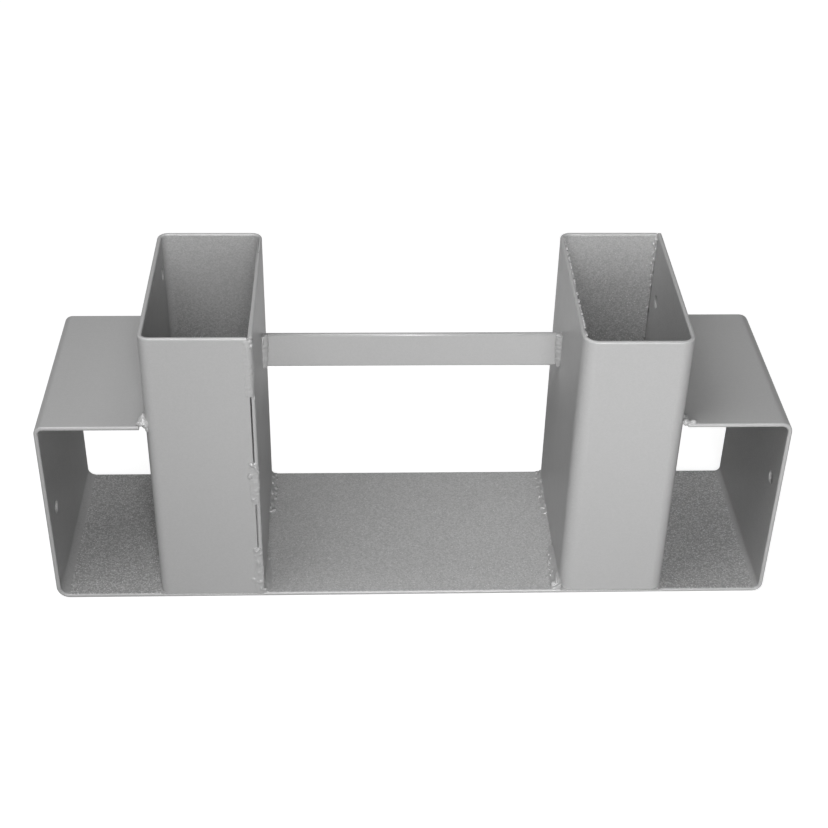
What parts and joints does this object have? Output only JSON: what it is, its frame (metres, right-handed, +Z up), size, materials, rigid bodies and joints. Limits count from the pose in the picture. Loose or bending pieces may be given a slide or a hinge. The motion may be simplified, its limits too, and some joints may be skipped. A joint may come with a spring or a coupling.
{
  "type": "log rack bracket",
  "caption": "Welded sheet steel bracket for a log rack: upright sockets for timber posts, open sleeves for timber rails, tied by a flat bar.",
  "frame": {"origin": "on the floor, under the middle of the base plate", "axes": "+X along the strip to the right as the picture shows it, +Y from the front to the back, +Z up"},
  "size_m": [0.34, 0.0976, 0.146],
  "materials": {
    "sheet_coat": "satin powder coat over smooth sheet steel",
    "weld_coat": "satin powder coat over rough weld beads"
  },
  "bodies": {
    "root": {"base_strip": "sheet_coat", "left_upright": "sheet_coat", "right_upright": "sheet_coat", "cross_bar": "sheet_coat", "left_seam_weld_top": "weld_coat", "left_seam_weld_middle": "weld_coat", "left_seam_weld_foot": "weld_coat", "right_seam_weld_top": "weld_coat", "right_seam_weld_middle": "weld_coat", "right_seam_weld_foot": "weld_coat", "left_base_weld_front": "weld_coat", "left_base_weld_back": "weld_coat", "right_base_weld_front": "weld_coat", "right_base_weld_back": "weld_coat", "left_bar_weld": "weld_coat", "right_bar_weld": "weld_coat", "left_tab_weld": "weld_coat", "right_tab_weld": "weld_coat"}
  },
  "joints": []
}
